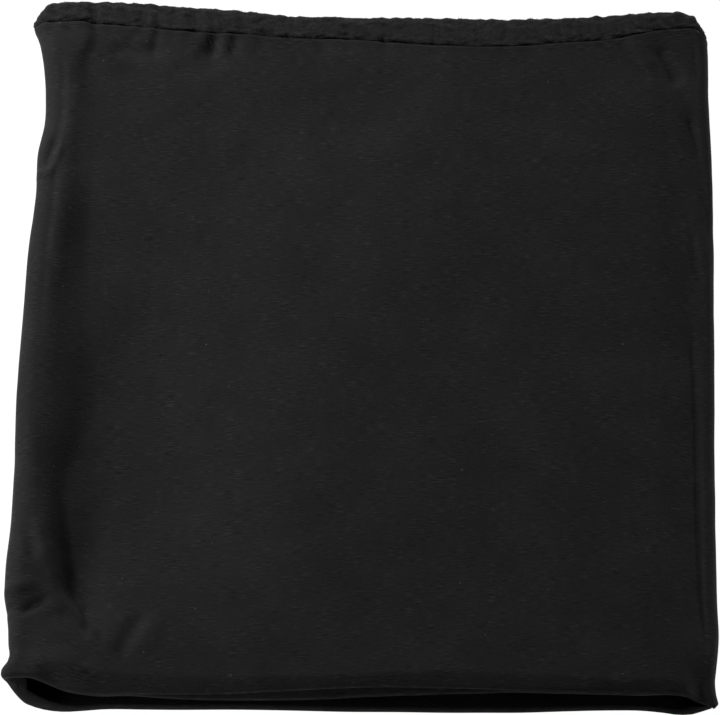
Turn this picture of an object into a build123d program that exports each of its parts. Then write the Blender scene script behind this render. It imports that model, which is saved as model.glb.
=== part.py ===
from build123d import *
import os

# A fleece-lined neck gaiter that lies flat: a soft tube of two cloths for the neck, pressed
# down to a wide band by its own weight. X runs across the tube, +Y along it towards the
# fleece rim at the wearer's chin, and +Z is up. The origin is the middle of the surface
# that it lies on. All sizes are in millimetres.

# The flattened tube
tube_width = 250.0
tube_length = 283.0
cavity_height = 6.4  # open space between the front wall and the back wall

# The cloth of one wall, from the outside in
shell_thickness = 0.8  # knitted jersey
ply_gap = 0.5  # loose space between the two cloths
lining_thickness = 2.2  # brushed fleece

# Far end: the lining is turned out over the edge and meets the shell there
rim_depth = 10.0
rim_step = 0.8  # the doubled fleece stands this far outside the shell
rim_round = 1.6
rim_lip_round = 0.6

# Near end: the shell is turned in and meets the lining inside the tube
hem_depth = 12.0
hem_round = 0.8

# Seams
seam_gap = 0.4  # groove between two sewn edges
butt_gap = 0.2  # slit between the two edges of one cloth that a closing seam joins
closing_groove_width = 3.4
closing_groove_depth = 0.35
shell_seam_inset = 9.0  # from the fold of the tube to the shell's closing seam
lining_seam_inset = 12.0  # and to the lining's

# Threads
thread_radius = 0.15
stitch_pitch = 3.0
needle_stitch = 2.2
looper_stitch = 4.0
cover_stitch = 1.8
needle_row_spacing = 2.5
thread_clearance = 0.02

# Care label: one satin tape folded to a loop, its two ends sewn in beside the lining's seam
label_length = 26.0
label_width = 22.0
tape_thickness = 0.2
label_height = 3 * tape_thickness  # two layers of tape and the space in the loop
label_sewn_length = 3.0
label_fold_round = 0.27
label_clearance = 0.15  # above the lining
label_seam_clearance = 0.2  # beside the lining's closing seam
label_y = 80.0
label_stitch_count = 6

# Worked out from the sizes above
wall = shell_thickness + ply_gap + lining_thickness
tube_height = cavity_height + 2 * wall
mid_height = tube_height / 2
near_y = -tube_length / 2
far_y = tube_length / 2
rim_y = far_y - rim_depth
shell_far_y = rim_y - seam_gap
hem_y = near_y + hem_depth
lining_near_y = hem_y + seam_gap
lining_depth = shell_thickness + ply_gap  # from the outer face in to the lining
facing_depth = lining_depth + shell_thickness  # and in to the inner face of the turned hem
shell_seam_x = -tube_width / 2 + shell_seam_inset
lining_seam_x = -tube_width / 2 + lining_seam_inset
straight_width = tube_width - tube_height  # the flat walls, between the two round folds
across_count = int(straight_width // stitch_pitch) + 1
label_end_x = lining_seam_x + closing_groove_width / 2 + label_seam_clearance


def tube_ring(outer_depth, inner_depth, y):
    """A cross-section of one ply: a flat ring between two depths below the outer face."""
    with BuildSketch(Plane.XZ.offset(-y)) as ring:
        with Locations((0, mid_height)):
            SlotOverall(tube_width - 2 * outer_depth, tube_height - 2 * outer_depth)
            SlotOverall(
                tube_width - 2 * inner_depth,
                tube_height - 2 * inner_depth,
                mode=Mode.SUBTRACT,
            )
    return ring.sketch


def rim_ring():
    """The turned rim's cross-section: it steps out over the shell but not under it."""
    with BuildSketch(Plane.XZ.offset(-far_y)) as ring:
        with Locations((0, (tube_height + rim_step) / 2)):
            SlotOverall(tube_width + 2 * rim_step, tube_height + rim_step)
        with Locations((0, mid_height)):
            SlotOverall(tube_width - 2 * wall, cavity_height, mode=Mode.SUBTRACT)
    return ring.sketch


def cross_plane(y):
    """The plane across the tube at y, facing the near end, centred on the tube."""
    return Plane(origin=(0, y, mid_height), x_dir=(1, 0, 0), z_dir=(0, -1, 0))


def save(piece, name):
    """Label a finished piece and write its STEP file."""
    piece.label = name
    export_step(piece, f"parts/{name}.step")


os.makedirs("parts", exist_ok=True)

# Outer shell: the jersey tube, its near edge folded inwards as a hem facing
with BuildPart() as outer_shell:
    extrude(tube_ring(0, shell_thickness, shell_far_y), amount=shell_far_y - near_y)
    extrude(tube_ring(lining_depth, facing_depth, hem_y), amount=hem_depth)
    extrude(tube_ring(0, facing_depth, near_y + shell_thickness), amount=shell_thickness)
    fillet(outer_shell.edges().group_by(Axis.Y)[0], hem_round)
    with Locations((shell_seam_x, 0, 0)):
        Box(closing_groove_width, tube_length, 2 * closing_groove_depth, mode=Mode.SUBTRACT)
        Box(butt_gap, tube_length, 2 * facing_depth, mode=Mode.SUBTRACT)
save(outer_shell.part, "outer_shell")

# Fleece lining: the inner tube, turned out over the far edge as a doubled, rounded rim
with BuildPart() as fleece_lining:
    extrude(rim_ring(), amount=rim_depth)
    fillet(fleece_lining.edges().group_by(Axis.Y)[-1], rim_round)
    fillet(fleece_lining.edges().group_by(Axis.Y)[0], rim_lip_round)
    lining_end_y = rim_y + rim_depth / 2
    extrude(tube_ring(lining_depth, wall, lining_end_y), amount=lining_end_y - lining_near_y)
    with Locations((lining_seam_x, 0, wall)):
        Box(closing_groove_width, tube_length, 2 * closing_groove_depth, mode=Mode.SUBTRACT)
        Box(butt_gap, tube_length, 2 * wall, mode=Mode.SUBTRACT)
save(fleece_lining.part, "fleece_lining")


def cross_seam_threads(label, groove_y, needle_depth, looper_y):
    """The two threads of a seam round the tube, as rows of stitches on both walls."""
    needle_rows = tube_height - 2 * needle_depth
    looper_rows = tube_height - 2 * (shell_thickness + ply_gap / 2)
    with BuildPart(cross_plane(groove_y)) as needle_thread:
        with GridLocations(stitch_pitch, needle_rows, across_count, 2):
            Cylinder(thread_radius, needle_stitch, rotation=(0, 90, 0))
    save(needle_thread.part, f"{label}_seam_needle_thread")
    with BuildPart(cross_plane(looper_y)) as looper_thread:
        with GridLocations(stitch_pitch, looper_rows, across_count, 2):
            Cylinder(thread_radius, looper_stitch)
    save(looper_thread.part, f"{label}_seam_looper_thread")


# Rim seam: the needle thread lies in the groove between the shell and the rim, and the
# looper thread wraps the seam allowance in the space between the cloths
cross_seam_threads(
    "rim",
    groove_y=shell_far_y + seam_gap / 2,
    needle_depth=shell_thickness / 2,
    looper_y=shell_far_y - looper_stitch / 2,
)

# Hem seam: the same, where the turned-in hem meets the lining inside the tube
cross_seam_threads(
    "hem",
    groove_y=hem_y + seam_gap / 2,
    needle_depth=lining_depth + shell_thickness / 2,
    looper_y=lining_near_y + looper_stitch / 2,
)


def closing_seam_threads(label, seam_x, seam_z, start_y, end_y):
    """A flat seam along the tube: two needle rows and the cover thread that crosses them."""
    along_count = int((end_y - start_y) // stitch_pitch) - 1
    seam_plane = Plane(origin=(seam_x, (start_y + end_y) / 2, seam_z))
    with BuildPart(seam_plane) as needle_threads:
        with GridLocations(needle_row_spacing, stitch_pitch, 2, along_count):
            Cylinder(thread_radius, needle_stitch, rotation=(90, 0, 0))
    save(needle_threads.part, f"{label}_seam_needle_threads")
    with BuildPart(seam_plane) as cover_thread:
        with GridLocations(stitch_pitch, stitch_pitch, 1, along_count):
            Cylinder(thread_radius, cover_stitch, rotation=(0, 90, 0))
    save(cover_thread.part, f"{label}_seam_cover_thread")


# Closing seams: the shell's is on the underside near the left fold, and the lining's is
# on the inside of the back wall, a little further in so that the two don't stack up
closing_seam_threads(
    "shell",
    shell_seam_x,
    seam_z=thread_radius + thread_clearance,
    start_y=near_y + hem_round,
    end_y=shell_far_y,
)
closing_seam_threads(
    "lining",
    lining_seam_x,
    seam_z=wall - closing_groove_depth + thread_radius + thread_clearance,
    start_y=lining_near_y,
    end_y=rim_y,
)

# Care label: it lies on the lining inside the tube and flips up about its sewn end
label_mid_x = label_end_x + label_length / 2
label_mid_z = wall + label_clearance + label_height / 2
loop_length = label_length - label_sewn_length - tape_thickness
with BuildPart() as care_label:
    with BuildSketch(Plane.XZ.offset(-label_y)):
        with Locations((label_mid_x, label_mid_z)):
            Rectangle(label_length, label_height)
        with Locations((label_end_x + label_sewn_length, label_mid_z)):
            Rectangle(
                loop_length,
                tape_thickness,
                align=(Align.MIN, Align.CENTER),
                mode=Mode.SUBTRACT,
            )
    extrude(amount=label_width / 2, both=True)
    fold_edges = care_label.edges().filter_by(Axis.Y).group_by(Axis.X)[-1]
    fillet(fold_edges, label_fold_round)
save(care_label.part, "care_label")

# Label stitches: one row of thread across the label's sewn end
label_stitch_plane = Plane(
    origin=(
        label_end_x + label_sewn_length / 2,
        label_y,
        label_mid_z + label_height / 2 + thread_clearance + thread_radius,
    )
)
with BuildPart(label_stitch_plane) as label_stitches:
    with GridLocations(stitch_pitch, stitch_pitch, 1, label_stitch_count):
        Cylinder(thread_radius, needle_stitch, rotation=(90, 0, 0))
save(label_stitches.part, "label_stitches")
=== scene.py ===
import math

import bpy
import numpy as np
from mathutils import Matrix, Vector


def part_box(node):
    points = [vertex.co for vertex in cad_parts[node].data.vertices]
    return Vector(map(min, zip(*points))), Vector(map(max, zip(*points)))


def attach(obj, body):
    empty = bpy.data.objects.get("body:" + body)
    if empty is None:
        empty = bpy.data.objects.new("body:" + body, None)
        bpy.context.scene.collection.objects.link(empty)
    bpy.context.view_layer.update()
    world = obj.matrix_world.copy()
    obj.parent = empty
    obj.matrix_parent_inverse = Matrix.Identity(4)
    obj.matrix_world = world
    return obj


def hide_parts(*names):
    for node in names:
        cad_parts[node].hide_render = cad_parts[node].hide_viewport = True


# A black neck gaiter lying flat on a pale floor. Its two cloths, its seams and its label are
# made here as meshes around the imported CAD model. Shapes are worked out in millimetres and
# turned to metres when a mesh is made.

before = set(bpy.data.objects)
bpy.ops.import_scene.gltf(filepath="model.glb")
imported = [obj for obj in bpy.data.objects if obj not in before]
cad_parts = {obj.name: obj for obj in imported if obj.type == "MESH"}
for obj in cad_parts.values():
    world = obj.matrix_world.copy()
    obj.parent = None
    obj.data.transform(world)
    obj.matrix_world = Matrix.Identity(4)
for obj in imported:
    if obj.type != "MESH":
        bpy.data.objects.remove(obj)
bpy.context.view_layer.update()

MM = 0.001
SEED = 7

# ------------ sizes, from the CAD frame

shell_low, shell_high = (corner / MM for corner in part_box("outer_shell"))
lining_low, lining_high = (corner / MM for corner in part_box("fleece_lining"))
label_low, label_high = (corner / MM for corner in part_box("care_label"))
shell_seam_low, shell_seam_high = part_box("shell_seam_cover_thread")
shell_seam_x = (shell_seam_low.x + shell_seam_high.x) / 2 / MM
lining_seam_low, lining_seam_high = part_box("lining_seam_cover_thread")
lining_seam_x = (lining_seam_low.x + lining_seam_high.x) / 2 / MM

NEAR = shell_low.y  # the hem's edge
SEAM = shell_high.y  # where the shell ends under the fleece rim
FAR = lining_high.y  # the rim's edge
HALF_WIDTH = shell_high.x
FOLD_RADIUS = shell_high.z / 2
STRAIGHT = 2 * (HALF_WIDTH - FOLD_RADIUS)
FOLD_ARC = math.pi * FOLD_RADIUS
GIRTH = 2 * (STRAIGHT + FOLD_ARC)
HEM = lining_low.y  # where the turned-in hem meets the lining

# Arc lengths at the ends of the underside, left fold, front wall and right fold
AROUND_ENDS = np.cumsum([0, STRAIGHT, FOLD_ARC, STRAIGHT, FOLD_ARC])

# How far below the outer face each surface of the cloth lies
SHELL_THICK = 0.8
LINING_OUT = 1.0
LINING_IN = 3.1

HEM_ROUND = 1.5  # the hem is a soft roll of this radius, about as thick as the whole wall
RIM_PROUD = 0.22  # the fleece rim stands this far outside the front wall
FULL_RADIUS = 4.1  # a fold tighter than this squeezes the cloth's own thickness


# ------------ smooth functions


def smooth_curve(*points):
    """A smooth function through (place, value) points, level beyond the first and last."""
    places, values = (np.array(column, float) for column in zip(*points))
    slopes = np.gradient(values, places)
    slopes[0] = slopes[-1] = 0

    def at(place):
        place = np.clip(place, places[0], places[-1])
        i = np.clip(np.searchsorted(places, place) - 1, 0, len(places) - 2)
        span = places[i + 1] - places[i]
        t = (place - places[i]) / span
        start, end = values[i], values[i + 1]
        rise = start + (end - start) * t * t * (3 - 2 * t)
        lean = t * (1 - t) * span * ((1 - t) * slopes[i] - t * slopes[i + 1])
        return rise + lean

    return at


def step(value):
    """0 below 0, 1 above 1, and a smooth step between."""
    t = np.clip(value, 0, 1)
    return t * t * (3 - 2 * t)


def bell(distance, width):
    """1 at distance 0, and almost 0 at twice the width to either side."""
    return np.exp(-((distance / width) ** 2))


def waves(x, y, length, seed, count=18):
    """Seeded smooth noise of about that wavelength, from -1 to 1: a sum of plane waves."""
    rng = np.random.default_rng(seed)
    total = 0
    for _ in range(count):
        heading = rng.uniform(0, 2 * math.pi)
        pitch = length * rng.uniform(0.7, 1.6)
        phase = rng.uniform(0, 2 * math.pi)
        total = total + np.sin(
            2 * math.pi * (x * math.cos(heading) + y * math.sin(heading)) / pitch + phase
        )
    return total / math.sqrt(count / 2) / 2


# ------------ the outline as it lies
# Each curve takes a distance from the hem in millimetres, or a place across the tube from
# -1 at the left fold to 1 at the right one, and gives an offset from the CAD outline.

left_bulge = smooth_curve(
    (0, 4.0), (3, 3.9), (7, 1.4), (14, 1.1), (22, 1.1), (27, 1.6), (32, 2.3), (39, 2.7), (50, 2.6),
    (62, 2.0), (83, 1.9), (105, 2.3), (137, 2.5), (157, 2.1), (181, 1.4), (201, 0.2), (221, 0.2),
    (231, -1.4), (246, -1.1), (265, 1.7), (276, 4.9), (283, 4.2),
)
right_bulge = smooth_curve(
    (0, -0.3), (4, -1.2), (8, -1.6), (13, -1.2), (26, 0.0), (40, -0.35), (60, -0.5), (80, -0.4),
    (135, 0.2), (190, 0.9), (215, 0.9), (245, 0.0), (275, -0.4), (283, -1.6),
)
left_radius = smooth_curve(
    (0, 6.3), (20, 6.1), (30, 6.4), (37, 7.0), (46, 7.5), (60, 7.4), (80, 7.0), (115, 6.9),
    (156, 6.6), (200, 6.4), (225, 5.9), (236, 5.9), (255, 6.4), (270, 6.5), (283, 6.2),
)
right_radius = smooth_curve(
    (0, 2.6), (6, 3.3), (14, 4.0), (30, 4.1), (150, 4.1), (190, 4.5), (240, 5.0), (270, 5.3),
    (283, 5.6),
)
# The left fold's foot is tucked in near the hem
left_tuck = smooth_curve((0, 4.6), (8, 3.6), (18, 1.3), (30, 0))

front_near_edge = smooth_curve(
    (-1.0, 7.6), (-0.96, 6.6), (-0.9, 6.6), (-0.85, 4.8), (-0.8, 2.6), (-0.73, 1.3), (-0.62, 1.5),
    (-0.45, 1.2), (-0.34, 1.2), (-0.18, 1.9), (0.1, 4.2), (0.33, 5.1), (0.55, 5.1), (0.72, 5.2),
    (0.885, 5.2), (0.925, 3.9), (0.955, 2.6), (0.98, 2.3), (1.0, 2.9),
)
back_near_edge = smooth_curve(
    (-1.0, 6.6), (-0.985, 4.0), (-0.965, 1.7), (-0.94, 0.1), (-0.905, -1.3), (-0.85, -2.15),
    (-0.78, -1.7), (-0.71, -0.95), (-0.6, -0.65), (-0.45, -0.55), (-0.27, 0.0), (-0.03, -0.3),
    (0.1, 0.0), (0.3, 0.35), (0.43, 0.55), (0.55, 1.4), (0.67, 2.1), (0.755, 2.2), (0.81, 1.6),
    (0.86, 0.8), (0.89, 1.1), (0.91, 1.9), (0.93, 3.0), (0.95, 3.9), (0.97, 4.6), (1.0, 5.0),
)
front_seam_edge = smooth_curve(
    (-1.0, 1.2), (-0.93, 1.0), (-0.87, 1.5), (-0.8, 1.1), (-0.71, 0.3), (-0.61, -1.0),
    (-0.5, -2.1), (-0.38, -2.7), (-0.24, -4.2), (-0.05, -4.7), (0.16, -6.4), (0.43, -6.1),
    (0.574, -3.95), (0.679, -2.55), (0.772, 0.0), (0.841, 2.5), (0.9, 3.8), (0.935, 4.2), (1.0, 2.0),
)
front_far_edge = smooth_curve(
    (-1.0, -5.2), (-0.975, -2.0), (-0.95, -0.4), (-0.92, 0.2), (-0.86, 0.6), (-0.8, 1.2), (-0.71, 0.9),
    (-0.63, 0.0), (-0.46, -1.6), (-0.38, -2.3), (-0.26, -4.0), (-0.05, -4.6), (0.11, -4.3),
    (0.5, -3.7), (0.6, -2.8), (0.667, -2.0), (0.754, -0.9), (0.81, 0.0), (0.86, 0.7), (0.915, 1.1),
    (0.94, 0.6), (0.97, -0.6), (1.0, -3.8),
)
BACK_FOLLOWS = 0.6  # the back wall's far edge follows the front one this much

# Lengths of the tube over which an effect at one of its ends dies away
EDGE_REACH = 110.0  # the offset of an edge
MOUTH_REACH = 70  # the height of the open mouth
RIM_REACH = 60  # the height of the rim
PINCH_REACH = 14  # the pinch at the right near corner

# Heights of the front wall over the floor, across the tube: by the hem, midway and by the rim
mouth_height = smooth_curve(
    (-1.0, 12.6), (-0.9, 13.4), (-0.8, 13.4), (-0.6, 12.2), (-0.3, 12.3), (0.1, 12.4), (0.6, 11.9),
    (0.8, 11.2), (0.885, 10.4), (0.93, 9.6), (1.0, 8.6),
)
corner_pinch = smooth_curve((0.86, 0), (0.915, 1.0), (0.945, 3.0), (1.0, 3.4))
middle_height = smooth_curve(
    (-1, 11.2), (-0.74, 10.7), (-0.6, 10.9), (-0.45, 11.5), (-0.3, 12.1), (-0.1, 12.9),
    (0.1, 13.1), (0.5, 12.4), (0.85, 11.0), (1, 10.0),
)
left_sink = smooth_curve(
    (16, 0), (40, 1.9), (60, 3.0), (82, 3.7), (120, 3.4), (156, 2.5), (190, 0.5), (205, 0)
)
rim_height = smooth_curve((-1, 11.4), (-0.6, 12.2), (0, 12.7), (0.5, 12.3), (0.85, 11.6), (1, 11.0))
hem_drop = smooth_curve(
    (-1.0, 0.3), (-0.95, 0.7), (-0.88, 3.1), (-0.8, 3.1), (-0.5, 2.7), (-0.15, 3.1), (0.13, 2.9),
    (0.45, 1.9), (0.85, 1.7), (0.93, 1.2), (1.0, 0.5),
)
# Length over which the hem curls down
hem_curl = smooth_curve(
    (-1.0, 5.0), (-0.87, 7.2), (-0.6, 7.2), (-0.45, 6.6), (-0.2, 7.0), (0.1, 6.4), (0.25, 6.9),
    (0.42, 5.6), (0.55, 5.9), (0.72, 4.6), (0.85, 5.2), (1.0, 4.6),
)

# A roll runs down the left side. Its inner flank falls to a trough beside the flat front, part
# of the way at once and the rest over a longer reach.
flank_place = smooth_curve(
    (24, 28.0), (37, 20.8), (43, 20.2), (57, 17.0), (82, 12.6), (115, 17.0), (156, 15.0),
    (197, 15.9), (233, 16.0), (254, 14.0), (269, 20.7),
)
flank_width = smooth_curve(
    (24, 5), (37, 9.5), (43, 11.5), (57, 12), (82, 15), (115, 26), (156, 20), (197, 12), (233, 14),
    (254, 8), (269, 5),
)
flank_share = smooth_curve(
    (24, 0.9), (37, 0.85), (57, 0.7), (82, 0.5), (115, 0.5), (156, 0.6), (197, 1.0)
)
flank_reach = smooth_curve(
    (37, 26), (57, 28), (82, 30), (115, 30), (156, 38), (197, 26), (254, 18)
)
trough_place = smooth_curve(
    (24, 31), (37, 28.5), (43, 28), (57, 27.5), (82, 24), (115, 26), (156, 28), (197, 22), (254, 20)
)
trough_depth = smooth_curve(
    (18, 0), (26, 0.7), (37, 1.9), (43, 1.8), (57, 1.2), (82, 0.4), (115, 0.1), (156, 0.2),
    (197, 0.3), (233, 0.0), (254, 0.1), (268, 0),
)
trough_width = smooth_curve((24, 5), (37, 8), (57, 8.5), (82, 10), (156, 10), (197, 7), (254, 7))
shoulder = smooth_curve(
    (60, 0), (115, 0.3), (156, 0.6), (197, 0.8), (233, 0.9), (254, 0.5), (268, 0)
)

# A narrow groove runs beside the right fold
groove_place = smooth_curve(
    (20, 4.6), (40, 5.2), (57, 6.0), (82, 6.7), (115, 7.3), (156, 9.2), (174, 9.6)
)
groove_depth = smooth_curve((14, 0), (30, 0.3), (60, 0.4), (150, 0.45), (166, 0.3), (180, 0))

# Soft creases in the front wall: start, end, width and height, in millimetres
CREASES = [
    # by the left near corner
    ((-110.5, -104.8), (-122.0, -111.3), 1.7, -1.0),
    ((-121.0, -110.0), (-127.0, -108.0), 1.4, -0.6),
    ((-127.5, -102.5), (-116.0, -99.5), 2.4, 0.9),
    ((-112.0, -74.0), (-106.5, -100.0), 2.0, -0.2),
    ((-118.0, -129.0), (-98.0, -130.5), 4.5, 0.8),
    # under the rim at the left
    ((-101.0, 121.5), (-78.0, 120.5), 3.6, -1.0),
    ((-100.0, 112.0), (-66.0, 110.0), 7.0, -0.7),
    ((-66.0, 124.0), (-60.0, 112.0), 5.0, -0.7),
    # more by the left near corner
    ((-113.5, -104.5), (-106.0, -110.0), 2.2, 0.5),
    ((-122.0, -76.0), (-117.0, -92.0), 2.2, -0.6),
    ((-117.0, -74.0), (-112.5, -90.0), 2.2, 0.6),
    ((-99.0, -107.0), (-97.5, -119.0), 1.8, -0.7),
    ((-94.0, -117.0), (-91.5, -124.0), 1.8, -0.4),
    ((-78.0, -109.0), (-87.0, -128.0), 3.2, -0.8),
    ((-72.0, -108.0), (-80.0, -127.0), 3.4, 0.4),
    ((-108.0, -119.0), (-96.0, -131.0), 3.4, -0.5),
    # a kink in the left fold
    ((-125.0, 68.0), (-118.5, 67.0), 1.2, 1.1),
    ((-119.6, 66.2), (-116.0, 80.0), 1.3, 1.0),
    ((-122.0, 69.5), (-118.8, 82.0), 1.7, -1.1),
    # gathers along the rim's seam
    ((-60.6, 129.0), (-61.6, 118.0), 1.7, -1.7),
    ((-57.0, 129.0), (-57.2, 119.0), 1.3, 0.6),
    ((-53.2, 128.5), (-54.0, 119.0), 1.5, -1.4),
    ((-66.5, 129.0), (-68.5, 118.0), 1.8, 0.5),
    ((-82.5, 130.0), (-84.0, 120.0), 1.8, -0.55),
    ((-90.0, 129.5), (-93.0, 124.0), 2.0, -0.5),
    ((-45.0, 128.0), (-44.0, 119.0), 1.6, -0.5),
    ((-21.0, 128.0), (-20.5, 119.0), 1.5, -0.6),
    ((-11.5, 128.0), (-11.0, 120.0), 1.3, -0.5),
    ((2.5, 127.5), (3.0, 118.0), 1.3, -0.7),
    ((21.0, 126.5), (22.0, 118.0), 1.5, -0.35),
    # under the rim at the right, and down the right fold
    ((104.5, 128.0), (114.0, 110.0), 4.6, -1.8),
    ((96.0, 129.5), (104.5, 117.0), 2.8, 0.9),
    ((119.5, 130.0), (120.5, 110.0), 2.0, -0.7),
    ((116.5, 100.0), (122.5, 72.0), 3.0, -0.95),
    ((121.5, 78.0), (124.5, 42.0), 2.0, -0.9),
    ((111.5, 101.0), (117.5, 61.0), 2.6, 0.35),
    ((117.0, 64.0), (124.0, 24.0), 2.0, 0.55),
    # broad swells
    ((44.0, 124.0), (-6.0, 10.0), 26.0, 1.1),
    ((-6.0, 30.0), (-30.0, -110.0), 26.0, 0.6),
    ((70.0, 96.0), (84.0, 40.0), 9.0, 0.45),
    ((28.0, 30.0), (44.0, -34.0), 11.0, -0.5),
    ((58.0, -6.0), (76.0, -60.0), 10.0, 0.5),
    ((-20.0, 82.0), (-34.0, 20.0), 12.0, 0.45),
    ((-66.0, 60.0), (-58.0, -10.0), 12.0, 0.4),
    ((34.0, -70.0), (64.0, -108.0), 9.0, -0.5),
    ((-40.0, -52.0), (-8.0, -96.0), 10.0, 0.4),
]


def crease(x, y, start, end, width, height):
    """The height of one soft crease: a ridge, or a dent where height is below zero."""
    run = np.array(end, float) - np.array(start, float)
    length = np.linalg.norm(run)
    ahead = ((x - start[0]) * run[0] + (y - start[1]) * run[1]) / length
    aside = ((x - start[0]) * run[1] - (y - start[1]) * run[0]) / length
    past_end = np.maximum(np.abs(ahead - length / 2) - length * 0.25, 0)
    return height * bell(aside, width) * bell(past_end, length * 0.22)


def front_height(x, y, from_hem, left, right, left_r, right_r):
    """Height of the front wall's outer face over the floor, before its small creases. It meets
    the folds, which are round with those radii, at their tops."""
    across = np.clip(x / HALF_WIDTH, -1, 1)
    from_edge = y - NEAR - front_near_edge(across)

    # The flat part, from the mouth to the rim. Its highest line drifts right towards the rim
    middle = middle_height(across - 0.3 * step(y / 110))
    flat = mouth_height(across) + (middle - mouth_height(across)) * step(from_edge / MOUTH_REACH)
    flat = flat - left_sink(from_hem) * step((-0.2 - across) / 0.5)
    flat = flat + (rim_height(across) - flat) * step(1 - (SEAM - NEAR - from_hem) / RIM_REACH)
    flat = flat - hem_drop(across) * np.clip(1 - from_edge / hem_curl(across), 0, 1) ** 1.25
    flat = flat - corner_pinch(across) * step(1 - from_edge / PINCH_REACH)

    # The roll down the left side, with the trough beside it
    from_left, from_right = x - left, right - x
    past_roll = step((from_left - left_r) / 3)
    flat = flat - trough_depth(from_hem) * bell(
        from_left - trough_place(from_hem), trough_width(from_hem)
    )
    share = flank_share(from_hem)
    fall = share * step((from_left - flank_place(from_hem)) / flank_width(from_hem) + 0.5)
    fall = fall + (1 - share) * step((from_left - left_r) / flank_reach(from_hem))
    near_hem = step(1 - (from_hem - 22) / 10)
    fall = np.maximum(fall, step((from_left - left_r) / 18) * near_hem)
    height = 2 * left_r + (flat - 2 * left_r) * fall * past_roll
    height = height + shoulder(from_hem) * bell(from_left - 10.5, 4) * past_roll

    # The right side, with its groove
    fall = step((from_right - right_r) / (9 + 9 * step((from_hem - 6) / 30)))
    height = 2 * right_r + (height - 2 * right_r) * fall
    return height - groove_depth(from_hem) * bell(from_right - groove_place(from_hem), 2.2)


def relief(x, y, from_seam):
    """Small heights that go over the front wall and round the upper half of the folds."""
    total = 0.22 * waves(x, y, 42, SEED + 4) + 0.07 * waves(x, y, 13, SEED + 5)
    for fold in CREASES:
        total = total + crease(x, y, *fold)
    gather = waves(x, 0 * x, 8.0, SEED + 1) + 0.6 * waves(x, 0 * x, 4.0, SEED + 2)
    ease = 0.45 + 0.55 * step(-x / 60)
    return total + 0.3 * ease * gather * np.exp(-np.maximum(from_seam, 0) / 5.0)


# ------------ the flattened tube


def around_at(arc):
    """Place round the tube for an arc length from the right end of the underside: 0 to 1 is the
    underside, 1 to 2 the left fold, 2 to 3 the front wall and 3 to 4 the right fold."""
    return np.interp(np.mod(arc, GIRTH), AROUND_ENDS, [0, 1, 2, 3, 4])


def arc_on_back(x):
    """The arc length of a place on the underside."""
    return STRAIGHT / 2 - x


def tube(around, along, depth):
    """Points of the lying tube in millimetres, depth below its outer face. The arguments are
    arrays that broadcast together, and the result has one more axis, for x, y and z."""
    around, along, depth = np.broadcast_arrays(around, along, depth)
    back, right = around < 1, around >= 3
    left = ~back & (around < 2)
    front = (around >= 2) & ~right
    fold = left | right
    turn = np.where(left, around - 1, np.where(right, around - 3, 0)) * math.pi
    aside = np.where(fold, np.sin(turn), 0)
    lift = np.where(left, -np.cos(turn), np.where(right, np.cos(turn), np.where(front, 1, -1)))
    share = np.where(back, 1 - around, np.where(front, around - 2, np.where(left, 0, 1)))
    straight = STRAIGHT / 2 / HALF_WIDTH
    side = np.where(left, -1, 1)
    across = (2 * share - 1) * straight + side * aside * (1 - straight)
    frontness = (1 + lift) / 2

    near = back_near_edge(across) + (front_near_edge(across) - back_near_edge(across)) * frontness
    follow = BACK_FOLLOWS + (1 - BACK_FOLLOWS) * frontness
    seam = front_seam_edge(across) * follow
    far = front_far_edge(across) * (follow + (1 - follow) * step((np.abs(across) - 0.9) * 10))
    far_share = step((along - SEAM) / (FAR - SEAM))
    y = along + near * step(1 - (along - NEAR) / EDGE_REACH)
    y = y + (seam + (far - seam) * far_share) * step(1 - (SEAM - along) / EDGE_REACH)

    from_hem = along - NEAR
    left_edge = -HALF_WIDTH - left_bulge(from_hem)
    right_edge = HALF_WIDTH + right_bulge(from_hem)
    left_r, right_r = left_radius(from_hem), right_radius(from_hem)
    x = left_edge + left_r + (right_edge - right_r - left_edge - left_r) * share
    radius = np.where(share < 0.5, left_r, right_r)
    from_fold = np.where(share < 0.5, share, 1 - share) * STRAIGHT

    squeeze = np.minimum(1, radius / FULL_RADIUS)
    depth = depth * (squeeze + (1 - squeeze) * step(from_fold / 12))

    top = front_height(x, y, from_hem, left_edge, right_edge, left_r, right_r)
    outer_x = x + side * aside * radius
    small = relief(outer_x, y, SEAM - along) * np.where(front, 1, step(0.5 + lift) * fold)
    under = (0.25 + 0.22 * waves(x, y, 35, SEED + 3)) * step(from_fold / 12)
    inner = radius - depth + small
    z = np.where(front, top + small - depth, np.where(fold, radius + inner * lift, under + depth))
    z = np.maximum(z, 0)
    x = x + side * inner * aside
    x = x + left_tuck(from_hem) * (1 - frontness) * (share < 0.5) * step(1 - from_fold / 45)
    return np.stack([x, y, z], axis=-1)


# ------------ mesh making


def mesh_piece(name, points, faces):
    """A mesh object from points in millimetres, smooth shaded, with its faces outwards."""
    data = bpy.data.meshes.new(name)
    data.from_pydata((np.asarray(points) * MM).tolist(), [], faces)
    data.update()
    data.validate()
    data.polygons.foreach_set("use_smooth", np.ones(len(data.polygons), bool))
    piece = bpy.data.objects.new(name, data)
    bpy.context.scene.collection.objects.link(piece)
    if signed_volume(data) < 0:
        data.flip_normals()
    return piece


def signed_volume(data):
    """Six times the volume of a mesh: below zero where its faces point inwards."""
    data.calc_loop_triangles()
    corners = np.array([t.vertices for t in data.loop_triangles])
    places = np.array([v.co for v in data.vertices])
    a, b, c = (places[corners[:, k]] for k in range(3))
    return float(np.einsum("ij,ij->i", a, np.cross(b, c)).sum())


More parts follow.
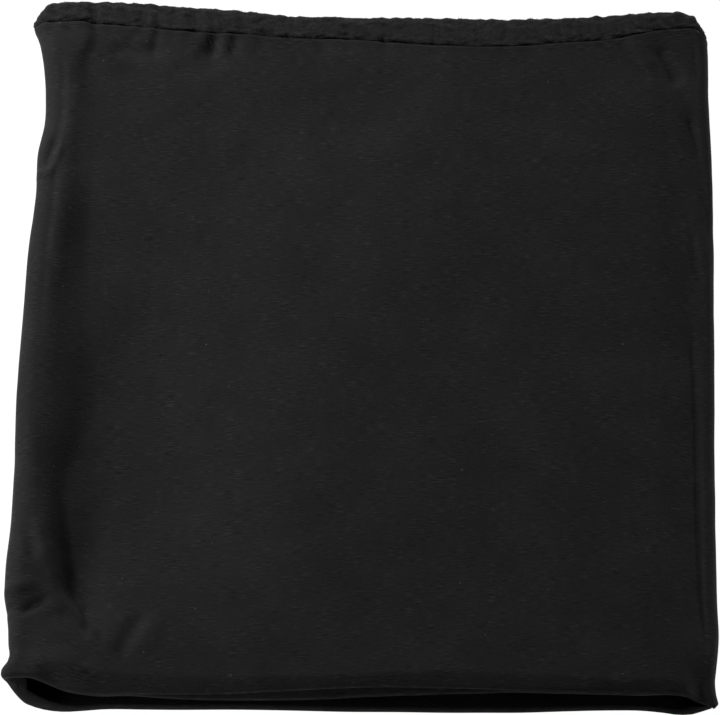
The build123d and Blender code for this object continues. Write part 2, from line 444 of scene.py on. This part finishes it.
def ring_faces(rows, columns):
    """Quads of a grid that closes on itself both ways."""
    row, column = np.meshgrid(np.arange(rows), np.arange(columns), indexing="ij")
    next_row, next_column = (row + 1) % rows, (column + 1) % columns
    quads = np.stack(
        [
            row * columns + column,
            row * columns + next_column,
            next_row * columns + next_column,
            next_row * columns + column,
        ],
        axis=-1,
    )
    return quads.reshape(-1, 4).tolist()


def closed_ply(name, arcs, along, depth, bumps=None):
    """A cloth that goes round the tube, and its grid of points. along and depth are its closed
    profile, row by row. bumps is the height, sizes and seed of its fleece, where it has any."""
    grid = tube(around_at(arcs)[None, :], along, depth)
    if bumps:
        grid = fleece_bumps(grid, *bumps)
    rows, columns = grid.shape[:2]
    piece = mesh_piece(name, grid.reshape(-1, 3), ring_faces(rows, columns))
    cloth = piece.data.attributes.new("cloth", "FLOAT_VECTOR", "POINT")
    lay = [np.broadcast_to(place, (rows, columns)) for place in (arcs, along, depth)]
    lay = np.stack(lay, axis=-1) * MM
    cloth.data.foreach_set("vector", lay.reshape(-1).astype(np.float32))
    return piece, grid


def graded(start, end, *pitches):
    """Places from start to just short of end, set as far apart as a smooth curve through the
    given (place, pitch) points says."""
    pitch_at = smooth_curve(*pitches)
    places = [start]
    while places[-1] + 1.4 * pitch_at(places[-1]) < end:
        places.append(places[-1] + float(pitch_at(places[-1])))
    return np.array(places)


def arc_places(front, fold_pitch, back_pitch, start):
    """Arc lengths of the mesh's columns, from a start on the underside. front is where they
    stand along the front wall."""
    ends = AROUND_ENDS
    folds = round(FOLD_ARC / fold_pitch)
    places = np.concatenate(
        [
            np.linspace(ends[0], ends[1], round(STRAIGHT / back_pitch), endpoint=False),
            np.linspace(ends[1], ends[2], folds, endpoint=False),
            ends[2] + front,
            np.linspace(ends[3], ends[4], folds, endpoint=False),
        ]
    )
    return np.concatenate([places[places >= start], places[places < start] + GIRTH])


# ------------ outer shell

LOBE = 0.7  # radius of each of the hem's two soft folds, where it shows two
LOBE_GAP = 2 * (HEM_ROUND - 2 * LOBE)
BULK_SETBACK = 0.9  # how far the bulky corner's inner side stands back, for each mm of bulk

# How far the hem's upper fold stands back from its lower one, across the tube
upper_fold_back = smooth_curve(
    (-0.8, 0), (-0.62, 0.5), (-0.34, 1.6), (-0.15, 2.3), (0.1, 1.9), (0.33, 0.8), (0.56, 0)
)
# And how far the lower one sags there
lower_fold_sag = smooth_curve((-0.6, 0), (-0.3, 0.35), (0.0, 0.8), (0.25, 0.3), (0.5, 0))

# The hem is bulky where it crosses the closing seam, by the foot of the left fold. This is the
# bulk for an arc length from where that fold starts
corner_bulk = smooth_curve((-22, 0), (-12, 0.8), (-4, 2.2), (4, 3.3), (10, 3.3), (15, 1.6), (19, 0))


def hem_turn(t, back, sag):
    """The hem's rounded edge for t from 0, on its outer face, to 1, on its inner one. Where back
    is above 0 it is two small folds with a groove between, and where it is 0, one roll."""
    single_along = HEM_ROUND * (1 - np.sin(math.pi * t))
    single_depth = HEM_ROUND * (1 - np.cos(math.pi * t))

    # Two folds: the upper is done by 0.36, the groove by 0.62 and the lower by 1
    upper = math.pi * np.clip(t / 0.36, 0, 1)
    shelf = step((t - 0.43) / 0.19)
    lower = math.pi * np.clip((t - 0.62) / 0.38, 0, 1)
    upper_along = back + LOBE * (1 - np.sin(upper))
    lower_along = LOBE * (1 - np.sin(lower))
    double_along = upper_along * (1 - shelf) + lower_along * shelf
    double_along = double_along + 0.5 * bell(t - 0.4, 0.03)
    gap = (LOBE_GAP + sag) * step((t - 0.36) / 0.07)
    double_depth = LOBE * (1 - np.cos(upper)) + gap + LOBE * (1 - np.cos(lower))

    mix = step(back / 0.8)
    along = single_along + (double_along - single_along) * mix
    return NEAR + along, single_depth + (double_depth - single_depth) * mix


def outer_rows():
    """The shell's profile on its outer face, along and depth: from the seam, where the edge is
    drawn down, to the hem."""
    edge = SEAM + np.array([0.25, 0.2, 0.0, -0.35, -0.8, -1.4, -2.2, -3.1])
    edge_depth = [0.85, 0.38, 0.05, -0.16, -0.22, -0.18, -0.07, 0.0]
    face = NEAR + graded(
        HEM_ROUND + 0.7, SEAM - NEAR - 3.6, (0, 0.75), (24, 0.85), (34, 1.15), (72, 1.3), (95, 2.2),
        (198, 2.2), (215, 1.5), (255, 1.2), (272, 0.8),
    )[::-1]
    along = np.concatenate([edge, face])
    depth = np.concatenate([edge_depth, np.zeros(len(face))])
    return along[:, None], depth[:, None]


def hidden_rows():
    """Its profile out of sight, along and depth: the turned-in hem, its raw edge at the lining,
    and back between the plies to the seam."""
    facing = np.arange(NEAR + 3, HEM - 0.8, 1.5)
    raw_edge = np.array([HEM - 0.5, HEM - 0.3, HEM - 0.5])
    between = np.arange(HEM - 3, NEAR + 4.5, -2.0)
    bend = np.linspace(math.pi, 0, 7)[1:-1]
    inside = np.linspace(NEAR + 4.5, SEAM - 3.0, 40)
    rows = [
        (facing, np.full(len(facing), 2 * HEM_ROUND)),
        (raw_edge, 2 * HEM_ROUND - np.array([0.15, 0.4, 0.7])),
        (between, np.full(len(between), 2 * HEM_ROUND - SHELL_THICK)),
        (NEAR + 3.2 + 0.7 * (1 - np.sin(bend)), HEM_ROUND - 0.7 * np.cos(bend)),
        (inside, np.full(len(inside), SHELL_THICK)),
        (SEAM + np.array([-1.2, -0.2, 0.15]), [1.05, 1.3, 1.3]),
    ]
    along, depth = (np.concatenate(column) for column in zip(*rows))
    return along[:, None], depth[:, None]


def make_shell():
    """The jersey, with its near edge turned in as the hem."""
    front = graded(
        0, STRAIGHT, (0, 0.85), (34, 0.95), (60, 1.75), (195, 1.75), (215, 1.0), (236, 0.85)
    )
    arcs = arc_places(front, 1.0, 3.2, arc_on_back(shell_seam_x))
    around = around_at(arcs)[None, :]
    on_front = (around >= 2) & (around <= 3)
    across = 2 * (around - 2) - 1
    back = np.where(on_front, upper_fold_back(across), 0)
    sag = np.where(on_front, lower_fold_sag(across), 0)
    by_left_fold = (around > 0.5) & (around < 2)
    bulk = np.where(by_left_fold, corner_bulk(np.mod(arcs, GIRTH) - STRAIGHT), 0)

    outer, outer_depth = outer_rows()
    mix = step(back / 0.8)
    outer = outer + mix * (back + LOBE - HEM_ROUND) * step(1 - (outer - NEAR - HEM_ROUND) / 9)

    t = np.linspace(0, 1, 37)[:, None]
    turn, turn_depth = hem_turn(t, back, sag)
    turn = turn + bulk * BULK_SETBACK * step((t - 0.35) / 0.65)
    turn_depth = turn_depth * (1 + bulk / (2 * HEM_ROUND))

    hidden, hidden_depth = hidden_rows()
    by_hem = (hidden_depth > SHELL_THICK + 0.1) * step(1 - (hidden - NEAR) / 9)
    hidden_depth = hidden_depth + (sag + bulk) * by_hem
    hidden = hidden + BULK_SETBACK * bulk * by_hem

    wide = np.ones_like(back)
    along = np.concatenate([outer, turn * wide, hidden * wide])
    depth = np.concatenate([outer_depth * wide, turn_depth, hidden_depth])
    shell, _ = closed_ply("shell_cloth", arcs, along, depth)
    return shell


# ------------ fleece

# The height, sizes and seed of the lumps in each fleece surface
LINING_BUMPS = (0.12, (3.2, 1.9), SEED + 20)
RIM_BUMPS = (0.24, (4.2, 2.3, 1.4), SEED + 30)

PILE_HAIRS = 9000
HAIR_ROOT = 0.045  # radius of a hair where it leaves the cloth
HAIR_MIDDLE = 0.035


def grid_normals(grid):
    """Unit normals of a grid that closes on itself both ways."""
    down = np.roll(grid, -1, 0) - np.roll(grid, 1, 0)
    over = np.roll(grid, -1, 1) - np.roll(grid, 1, 1)
    normal = np.cross(over, down)
    return normal / (np.linalg.norm(normal, axis=-1, keepdims=True) + 1e-9)


def fleece_bumps(grid, height, sizes, seed):
    """Moves a grid's points along its normals by lumpy noise, as brushed fleece is, but not into
    the floor."""
    x, y, z = np.moveaxis(grid, -1, 0)
    lump = 0
    for k, size in enumerate(sizes):
        lump = lump + waves(x + 0.7 * z, y + 1.3 * z, size, seed + k, count=26) / (k + 1)
    lump = lump * (0.25 + 0.75 * step(z / 3))  # pressed flatter on the floor
    grid = grid + grid_normals(grid) * (height * lump)[..., None]
    grid[..., 2] = np.maximum(grid[..., 2], 0)
    return grid


def make_lining():
    """The fleece, from the hem to where it turns out over the shell."""
    inner = np.linspace(SEAM + 3, HEM + 0.5, 120)
    outer = np.linspace(HEM + 0.5, SEAM + 3, 60)
    near_turn = np.array([HEM + 0.1, HEM, HEM + 0.1])
    far_turn = np.array([SEAM + 3.5])
    along = np.concatenate([inner, near_turn, outer, far_turn])[:, None]
    middle = (LINING_IN + LINING_OUT) / 2
    depth = np.concatenate(
        [
            np.full(len(inner), LINING_IN),
            [LINING_IN - 0.4, middle, LINING_OUT + 0.4],
            np.full(len(outer), LINING_OUT),
            [middle],
        ]
    )[:, None]
    front = graded(0, STRAIGHT, (0, 2.4), (STRAIGHT, 2.4))
    arcs = arc_places(front, 1.5, 2.4, arc_on_back(lining_seam_x))
    lining, _ = closed_ply("lining_cloth", arcs, along, depth, LINING_BUMPS)
    return lining


def rim_profile(arcs):
    """The rim's closed section, along and depth, at each arc length: a soft flat roll, square
    where it meets the shell and round at its free edge."""
    turn = np.linspace(0, 2 * math.pi, 64, endpoint=False)[:, None]
    plump = np.where(np.cos(turn) < 0, 0.42, 0.8)
    ahead = np.sign(np.cos(turn)) * np.abs(np.cos(turn)) ** plump
    out = np.sign(np.sin(turn)) * np.abs(np.sin(turn)) ** plump
    around = around_at(arcs)[None, :]
    lift = np.select(
        [around < 1, around < 2, around < 3],
        [-1 + 0 * around, -np.cos((around - 1) * math.pi), 1 + 0 * around],
        np.cos((around - 3) * math.pi),
    )
    proud = RIM_PROUD * step(lift)
    along = (SEAM + 0.15 + FAR) / 2 + (FAR - SEAM - 0.15) / 2 * ahead
    depth = (LINING_IN - proud) / 2 - (LINING_IN + proud) / 2 * out
    return along + 0 * depth, depth


def make_rim():
    """The lining's far edge, turned out over the shell as a soft roll, with its pile."""
    front = graded(0, STRAIGHT, (0, 0.8), (STRAIGHT, 0.8))
    arcs = arc_places(front, 0.8, 1.5, arc_on_back(lining_seam_x))
    along, depth = rim_profile(arcs)
    rim, grid = closed_ply("rim_fleece", arcs, along, depth, RIM_BUMPS)
    return rim, make_pile(grid, PILE_HAIRS)


def make_pile(grid, count):
    """Loose fibres of the brushed face: bent tapering hairs that stand on a grid's points."""
    rng = np.random.default_rng(SEED + 40)
    rows, columns = grid.shape[:2]
    normals = grid_normals(grid)
    centre = grid.mean(axis=0, keepdims=True)
    if np.sum((grid - centre) * normals) < 0:
        normals = -normals
    row, column = rng.integers(0, rows, count), rng.integers(0, columns, count)
    root, normal = grid[row, column], normals[row, column]
    lean = rng.normal(size=(count, 3))
    lean -= np.sum(lean * normal, axis=1, keepdims=True) * normal
    lean /= np.linalg.norm(lean, axis=1, keepdims=True)
    length = rng.uniform(0.35, 1.0, (count, 1))
    bend = rng.uniform(0.3, 1.3, (count, 1))
    middle = root + length * (0.45 * normal + 0.3 * bend * lean)
    tip = root + length * (0.65 * normal + 0.85 * bend * lean)
    root = root - 0.1 * normal
    side = np.cross(normal, lean)
    angle = np.linspace(0, 2 * math.pi, 3, endpoint=False)
    ring = lean[:, None] * np.cos(angle)[:, None] + side[:, None] * np.sin(angle)[:, None]
    rings = [root[:, None] + HAIR_ROOT * ring, middle[:, None] + HAIR_MIDDLE * ring]
    points = np.concatenate([*rings, tip[:, None]], axis=1)
    points[..., 2] = np.maximum(points[..., 2], 0)

    # Each hair has 7 points: 3 at its root, 3 halfway and its tip
    faces = []
    for root_point in range(0, 7 * count, 7):
        middle_point, tip_point = root_point + 3, root_point + 6
        faces.append((root_point + 2, root_point + 1, root_point))
        for a in range(3):
            b = (a + 1) % 3
            faces.append((root_point + a, root_point + b, middle_point + b, middle_point + a))
            faces.append((middle_point + a, middle_point + b, tip_point))
    return mesh_piece("rim_pile", points.reshape(-1, 3), faces)


# ------------ threads

CROSS_PITCH = 2.6  # of the seams round the tube, before it is fitted to the girth
CLOSING_PITCH = 2.4  # and of those along it
ROW_ASIDE = 1.25  # from a closing seam's middle to each needle row
STITCH_POINTS = 6  # points along one stitch


def thread_piece(name, runs, radius):
    """Many short closed tubes: runs is stitches by points by xyz, in millimetres."""
    runs = np.array(runs, float)
    runs[..., 2] = np.maximum(runs[..., 2], radius)
    count, points = runs.shape[:2]
    sides = 6
    ahead = np.gradient(runs, axis=1)
    ahead /= np.linalg.norm(ahead, axis=-1, keepdims=True) + 1e-9
    up = np.zeros_like(ahead)
    up[..., 2] = 1
    up[np.abs(ahead[..., 2]) > 0.9] = (1, 0, 0)
    side = np.cross(ahead, up)
    side /= np.linalg.norm(side, axis=-1, keepdims=True)
    up = np.cross(side, ahead)
    taper = np.ones(points)
    taper[0] = taper[-1] = 0.55
    angle = np.linspace(0, 2 * math.pi, sides, endpoint=False)
    ring = side[:, :, None] * np.cos(angle)[:, None] + up[:, :, None] * np.sin(angle)[:, None]
    tubes = runs[:, :, None] + radius * taper[None, :, None, None] * ring
    faces = []
    for k in range(count):
        base = k * points * sides
        for p in range(points - 1):
            for s in range(sides):
                a = base + p * sides + s
                b = base + p * sides + (s + 1) % sides
                faces.append((a, b, b + sides, a + sides))
        faces.append(tuple(base + s for s in reversed(range(sides))))
        faces.append(tuple(base + (points - 1) * sides + s for s in range(sides)))
    return mesh_piece(name, tubes.reshape(-1, 3), faces)


def stitch_runs(arcs, along, depth):
    """Runs of points on the tube from arrays of stitches by points."""
    return tube(around_at(arcs), along, depth)


def cross_seam(label, y, needle_depth, looper_y, looper_depth):
    """The needle and looper threads of a seam that goes round the tube."""
    pitch = GIRTH / round(GIRTH / CROSS_PITCH)
    starts = np.arange(0, GIRTH - pitch / 2, pitch)[:, None]
    t = np.linspace(0, 1, STITCH_POINTS)[None, :]
    dip = 0.12 * np.cos(2 * math.pi * t)
    needle = stitch_runs(starts + t * pitch * 0.72, y + 0 * t, needle_depth + dip)
    sway = np.linspace(-1, 1, STITCH_POINTS)[None, :]
    looper = stitch_runs(
        starts + sway * pitch * 0.3, looper_y + 1.9 * sway, looper_depth + 0.05 * np.abs(sway)
    )
    needle = thread_piece(f"{label}_needle_stitches", needle, radius=0.15)
    looper = thread_piece(f"{label}_looper_stitches", looper, radius=0.13)
    return [(f"{label}_seam_needle_thread", needle), (f"{label}_seam_looper_thread", looper)]


def closing_seam(label, seam_x, depth, start, end, outside):
    """A flat seam along the tube: two needle rows, and a cover thread that crosses them."""
    pitch = (end - start) / round((end - start) / CLOSING_PITCH)
    starts = np.arange(start, end - pitch / 2, pitch)[:, None]
    t = np.linspace(0, 1, STITCH_POINTS)[None, :]
    rise = 0.10 * np.sin(math.pi * t) * (1 if outside else -1)
    rows = []
    for aside in (-ROW_ASIDE, ROW_ASIDE):
        arcs = arc_on_back(seam_x + aside) + 0 * (starts + t)
        rows.append(stitch_runs(arcs, starts + t * pitch * 0.8, depth - rise))
    needle = np.concatenate(rows)
    swing = np.where(np.arange(len(starts))[:, None] % 2 == 0, 1, -1)
    cover_x = seam_x + swing * (2 * t - 1) * 1.15
    cover = stitch_runs(arc_on_back(cover_x), starts + t * pitch, depth + 0.05 + 0 * starts)
    needle = thread_piece(f"{label}_closing_rows", needle, radius=0.14)
    cover = thread_piece(f"{label}_closing_cover", cover, radius=0.12)
    return [(f"{label}_seam_needle_threads", needle), (f"{label}_seam_cover_thread", cover)]


# ------------ care label


TAPE = 0.2  # thickness of the satin
LOOP_GAP = 0.2  # space inside the folded loop
SEWN_POINTS = 4  # the loop is closed over this many points at its sewn end
SEWN_INSET = 1.5  # from the tape's edges to the row of stitches


def loop_section(flat, fold_x, radius):
    """x and z round one face of the loop: out along it, round the fold and back."""
    bend = np.linspace(-math.pi / 2, math.pi / 2, 9)
    side = np.full(len(flat), radius)
    x = np.concatenate([flat, fold_x + radius * np.cos(bend), flat[::-1]])
    return x, np.concatenate([-side, radius * np.sin(bend), side])


def make_label():
    """A blank satin tape folded to a loop, a little bowed, its ends sewn down at the left."""
    length, width = label_high.x - label_low.x, label_high.y - label_low.y
    outer_r = TAPE + LOOP_GAP / 2
    flat = np.linspace(0, length - 2 * outer_r, 30)
    outer_x, outer_z = loop_section(flat, length - outer_r, outer_r)
    inner_x, inner_z = loop_section(flat[SEWN_POINTS:], length - outer_r, LOOP_GAP / 2)
    across = np.linspace(-width / 2, width / 2, 24)
    middle = (label_low.z + label_high.z) / 2

    def sheet(px, pz):
        bow = 0.25 * np.sin(np.pi * np.clip(px / length, 0, 1)) ** 2
        x = label_low.x + px[None, :] + 0 * across[:, None]
        y = (label_low.y + label_high.y) / 2 + across[:, None] + 0 * px[None, :]
        z = middle + pz[None, :] + bow[None, :] + 0 * across[:, None]
        return np.stack([x, y, z], axis=-1)

    outside, inside = sheet(outer_x, outer_z), sheet(inner_x, inner_z)
    rows, wide, narrow = len(across), len(outer_x), len(inner_x)
    points = np.concatenate([outside.reshape(-1, 3), inside.reshape(-1, 3)])
    outer_at = np.arange(rows * wide).reshape(rows, wide).tolist()
    inner_at = (np.arange(rows * narrow) + rows * wide).reshape(rows, narrow).tolist()
    faces = []
    for row in range(rows - 1):
        outer, next_outer = outer_at[row], outer_at[row + 1]
        for c in range(wide):
            d = (c + 1) % wide
            faces.append((outer[c], outer[d], next_outer[d], next_outer[c]))
        inner, next_inner = inner_at[row], inner_at[row + 1]
        for c in range(narrow):
            d = (c + 1) % narrow
            faces.append((inner[d], inner[c], next_inner[c], next_inner[d]))

    # The tape's two cut edges, along its sides
    for row in (0, rows - 1):
        outer, inner = outer_at[row], inner_at[row]
        caps = []
        for c in range(narrow - 1):
            k = c + SEWN_POINTS
            caps.append((outer[k], outer[k + 1], inner[c + 1], inner[c]))
        sewn = outer[-SEWN_POINTS - 1 :] + outer[: SEWN_POINTS + 1] + [inner[0], inner[-1]]
        caps.append(tuple(sewn))
        faces += caps if row else [cap[::-1] for cap in caps]
    return mesh_piece("label_tape", points, faces)


def make_label_stitches():
    """The row of stitches across the label's sewn end."""
    y = np.linspace(label_low.y + SEWN_INSET, label_high.y - SEWN_INSET, 8)[:, None]
    t = np.linspace(0, 1, 5)[None, :]
    x = label_low.x + SEWN_INSET + 0 * (y + t)
    z = label_high.z + 0.14 + 0.05 * np.sin(math.pi * t) + 0 * y
    runs = np.stack([x, y - 1.0 + 2.0 * t, z], axis=-1)
    return thread_piece("label_sewing", runs, radius=0.13)


# ------------ materials


class Nodes:
    """A small helper that builds one node material."""

    def __init__(self, name):
        self.material = bpy.data.materials.new(name)
        self.material.use_nodes = True
        self.tree = self.material.node_tree
        self.shader = self.tree.nodes["Principled BSDF"]

    def add(self, kind, inputs=None, **settings):
        node = self.tree.nodes.new(kind)
        for key, value in settings.items():
            setattr(node, key, value)
        for key, value in (inputs or {}).items():
            if isinstance(value, bpy.types.NodeSocket):
                self.tree.links.new(value, node.inputs[key])
            else:
                node.inputs[key].default_value = value
        return node

    def link(self, source, key):
        self.tree.links.new(source, self.shader.inputs[key])

    def place(self, scale, attribute=None):
        """Coordinates in the given number of cells per metre along each axis."""
        if attribute:
            source = self.add("ShaderNodeAttribute", attribute_name=attribute).outputs["Vector"]
        else:
            source = self.add("ShaderNodeTexCoord").outputs["Object"]
        return self.add("ShaderNodeMapping", {"Vector": source, "Scale": scale}).outputs["Vector"]

    def noise(self, vector, detail, rough):
        inputs = {"Vector": vector, "Scale": 1.0, "Detail": detail, "Roughness": rough}
        return self.add("ShaderNodeTexNoise", inputs).outputs["Fac"]

    def remap(self, value, low, high, new_low=0.0, new_high=1.0):
        inputs = {"Value": value, "From Min": low, "From Max": high}
        inputs.update({"To Min": new_low, "To Max": new_high})
        return self.add("ShaderNodeMapRange", inputs).outputs["Result"]

    def math(self, operation, first, second=0.5):
        return self.add("ShaderNodeMath", {0: first, 1: second}, operation=operation).outputs[0]

    def ramp(self, value, *stops):
        node = self.add("ShaderNodeValToRGB", {"Fac": value})
        elements = node.color_ramp.elements
        while len(elements) < len(stops):
            elements.new(0.5)
        for element, (place, colour) in zip(elements, stops):
            element.position = place
            element.color = (*colour, 1)
        return node.outputs["Color"]

    def bump(self, height, distance, strength, before=None):
        inputs = {"Height": height, "Distance": distance, "Strength": strength}
        if before is not None:
            inputs["Normal"] = before
        return self.add("ShaderNodeBump", inputs).outputs["Normal"]


def grey(level):
    """A very slightly blue grey."""
    return (level, level, level * 1.02)


LINT_ABOVE = 0.94  # cells of the speck pattern with a random number above this hold lint
LINT_STRENGTH = 0.65


def jersey_material():
    """Fine black jersey: rows of loops, short crosswise slubs, a soft grain and a little lint."""
    made = Nodes("jersey")
    slubs = made.noise(made.place((280, 2200, 280), "cloth"), detail=2, rough=0.6)
    patches = made.noise(made.place((120, 150, 120), "cloth"), detail=3, rough=0.7)
    mottle = made.noise(made.place((45, 50, 45), "cloth"), detail=3, rough=0.6)
    grain = made.noise(made.place((950, 1050, 600), "cloth"), detail=3, rough=0.75)
    strength = made.remap(patches, 0.40, 0.66, 0.1, 0.9)
    dashes = made.remap(slubs, 0.26, 0.74, -1.0, 1.0)
    dashes = made.math("MULTIPLY", dashes, made.math("ABSOLUTE", dashes))
    tone = made.math("MULTIPLY", dashes, made.math("MULTIPLY", strength, 1.7))
    tone = made.math("ADD", tone, made.remap(grain, 0.25, 0.75, 0.24, 0.60))
    tone = made.math("ADD", tone, made.remap(mottle, 0.3, 0.7, -0.02, 0.18))
    colour = made.ramp(tone, (0.0, grey(0.0036)), (0.5, grey(0.0074)), (1.0, grey(0.0145)))
    specks = made.add(
        "ShaderNodeTexVoronoi",
        {"Vector": made.place((230, 300, 230), "cloth"), "Scale": 1.0, "Randomness": 1.0},
    )
    near = made.remap(specks.outputs["Distance"], 0.10, 0.04)
    pick = made.add("ShaderNodeSeparateColor", {"Color": specks.outputs["Color"]}).outputs[0]
    lint = made.math("MULTIPLY", near, made.math("GREATER_THAN", pick, LINT_ABOVE))
    lint = made.math("MULTIPLY", lint, LINT_STRENGTH)
    mixed = made.add("ShaderNodeMix", data_type="RGBA")
    made.tree.links.new(lint, mixed.inputs["Factor"])
    made.tree.links.new(colour, mixed.inputs["A"])
    mixed.inputs["B"].default_value = (0.05, 0.05, 0.05, 1)
    made.link(mixed.outputs["Result"], "Base Color")
    made.link(made.remap(grain, 0.2, 0.8, 0.80, 0.95), "Roughness")
    flat = made.place((1, 1, 1), "cloth")
    wave = {"Vector": flat, "Distortion": 0.6, "Detail": 1.0, "Detail Scale": 2.0}
    wales = made.add("ShaderNodeTexWave", {**wave, "Scale": 330.0}, bands_direction="X")
    courses = made.add("ShaderNodeTexWave", {**wave, "Scale": 400.0}, bands_direction="Y")
    knit = made.math("MULTIPLY", wales.outputs["Fac"], courses.outputs["Fac"])
    rows = made.bump(slubs, 0.00012, 0.6)
    made.link(made.bump(knit, 0.00003, 0.5, rows), "Normal")
    made.shader.inputs["Specular IOR Level"].default_value = 0.06
    made.shader.inputs["Sheen Weight"].default_value = 0.07
    made.shader.inputs["Sheen Roughness"].default_value = 0.3
    return made.material


def fleece_material():
    """Black brushed fleece: matted pile in small clumps, lighter at its tips."""
    made = Nodes("fleece")
    clumps = made.noise(made.place((620, 620, 620)), detail=4, rough=0.65)
    pile = made.noise(made.place((1800, 2600, 1800)), detail=3, rough=0.75)
    clump_tone = made.remap(clumps, 0.3, 0.7, 0, 0.65)
    tone = made.math("ADD", clump_tone, made.remap(pile, 0.3, 0.75, 0, 0.45))
    colour = made.ramp(tone, (0.1, grey(0.0014)), (0.55, grey(0.0044)), (1.0, grey(0.0108)))
    made.link(colour, "Base Color")
    made.shader.inputs["Roughness"].default_value = 0.95
    lumps = made.bump(clumps, 0.0007, 0.6)
    made.link(made.bump(pile, 0.0003, 0.6, lumps), "Normal")
    made.shader.inputs["Specular IOR Level"].default_value = 0.05
    made.shader.inputs["Sheen Weight"].default_value = 0.05
    made.shader.inputs["Sheen Roughness"].default_value = 0.6
    return made.material


def thread_material(name, dark, light):
    """Two-ply sewing thread, with the twist as fine slanting bands."""
    made = Nodes(name)
    wave = {"Vector": made.place((1, 1, 1)), "Scale": 900.0, "Distortion": 1.5}
    twist = made.add("ShaderNodeTexWave", wave, bands_direction="DIAGONAL")
    made.link(made.ramp(twist.outputs["Fac"], (0.2, grey(dark)), (0.8, grey(light))), "Base Color")
    made.shader.inputs["Roughness"].default_value = 0.6
    made.link(made.bump(twist.outputs["Fac"], 0.00008, 0.7), "Normal")
    made.shader.inputs["Specular IOR Level"].default_value = 0.3
    return made.material


def satin_material():
    """White satin label tape: fine floats along it and a soft gloss."""
    made = Nodes("label_satin")
    floats = made.noise(made.place((500, 5200, 500)), detail=2, rough=0.6)
    made.link(made.ramp(floats, (0.3, (0.60, 0.60, 0.58)), (0.7, (0.76, 0.76, 0.74))), "Base Color")
    made.link(made.remap(floats, 0.3, 0.7, 0.32, 0.48), "Roughness")
    made.link(made.bump(floats, 0.00005, 0.5), "Normal")
    made.shader.inputs["Sheen Weight"].default_value = 0.1
    return made.material


# ------------ build

jersey, fleece = jersey_material(), fleece_material()
thread = thread_material("thread", 0.005, 0.014)
label_satin = satin_material()
label_thread = thread_material("label_thread", 0.45, 0.62)


def finish_piece(piece, body, node, material):
    """Gives a piece its material, puts it on its body and hides the CAD part it stands in for."""
    piece.data.materials.clear()
    piece.data.materials.append(material)
    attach(piece, body)
    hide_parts(node)


shell = make_shell()
finish_piece(shell, "gaiter", "outer_shell", jersey)
lining = make_lining()
finish_piece(lining, "gaiter", "fleece_lining", fleece)
rim, pile = make_rim()
finish_piece(rim, "gaiter", "fleece_lining", fleece)
finish_piece(pile, "gaiter", "fleece_lining", fleece)

seams = cross_seam("rim", SEAM + 0.05, 0.75, SEAM - 2.6, 0.9)
seams += cross_seam("hem", HEM - 0.15, 2.75, HEM + 2.2, 0.9)
seams += closing_seam("shell", shell_seam_x, 0.05, NEAR + 2, SEAM - 1, True)
seams += closing_seam("lining", lining_seam_x, LINING_IN - 0.1, HEM + 1, SEAM + 2, False)
for node, piece in seams:
    finish_piece(piece, "gaiter", node, thread)

label = make_label()
finish_piece(label, "label", "care_label", label_satin)
label_stitches = make_label_stitches()
finish_piece(label_stitches, "label", "label_stitches", label_thread)


# ------------ stage, light and camera


def make_floor():
    """A wide floor that gives off its own light, so that it stays white."""
    half = 3.0
    data = bpy.data.meshes.new("floor")
    corners = [(-half, -half, 0), (half, -half, 0), (half, half, 0), (-half, half, 0)]
    data.from_pydata(corners, [], [(0, 1, 2, 3)])
    floor = bpy.data.objects.new("floor", data)
    bpy.context.scene.collection.objects.link(floor)
    made = Nodes("floor")
    made.shader.inputs["Base Color"].default_value = (0.05, 0.05, 0.05, 1)
    made.shader.inputs["Roughness"].default_value = 0.9
    made.shader.inputs["Specular IOR Level"].default_value = 0.1
    made.shader.inputs["Emission Color"].default_value = (1, 1, 1, 1)
    made.shader.inputs["Emission Strength"].default_value = 1.0
    data.materials.append(made.material)


def add_area(name, place, target, size, power):
    """A round lamp at a place, aimed at a target, in metres and watts."""
    data = bpy.data.lights.new(name, "AREA")
    data.shape = "DISK"
    data.size = size
    data.energy = power
    light = bpy.data.objects.new(name, data)
    light.location = place
    light.rotation_euler = (Vector(target) - Vector(place)).to_track_quat("-Z", "Y").to_euler()
    bpy.context.scene.collection.objects.link(light)


def add_camera():
    """A long lens high in front of the gaiter, a little to its right."""
    azimuth, elevation, distance = math.radians(1.1), math.radians(62.76), 1.6
    target = Vector((-0.0037, -0.0038, 0.005))
    level = math.cos(elevation)
    back = (math.sin(azimuth) * level, -math.cos(azimuth) * level, math.sin(elevation))
    back = Vector(back)
    data = bpy.data.cameras.new("camera")
    data.lens = 219.8
    data.sensor_width = 36
    camera = bpy.data.objects.new("camera", data)
    camera.location = target + back * distance
    camera.rotation_euler = (-back).to_track_quat("-Z", "Y").to_euler()
    bpy.context.scene.collection.objects.link(camera)
    bpy.context.scene.camera = camera


make_floor()
world = bpy.data.worlds.new("studio")
world.use_nodes = True
world.node_tree.nodes["Background"].inputs["Color"].default_value = (1, 1, 1, 1)
world.node_tree.nodes["Background"].inputs["Strength"].default_value = 0.05
bpy.context.scene.world = world
add_area("key", place=(-0.80, 0.70, 0.585), target=(0, 0, 0), size=0.47, power=38)
add_area("fill", place=(-0.25, -0.45, 0.05), target=(-0.04, -0.13, 0), size=0.08, power=1.35)
add_area("side", place=(1.4, -0.1, 0.04), target=(0, 0, 0.01), size=0.08, power=19)
add_camera()
bpy.context.scene.view_settings.view_transform = "Standard"
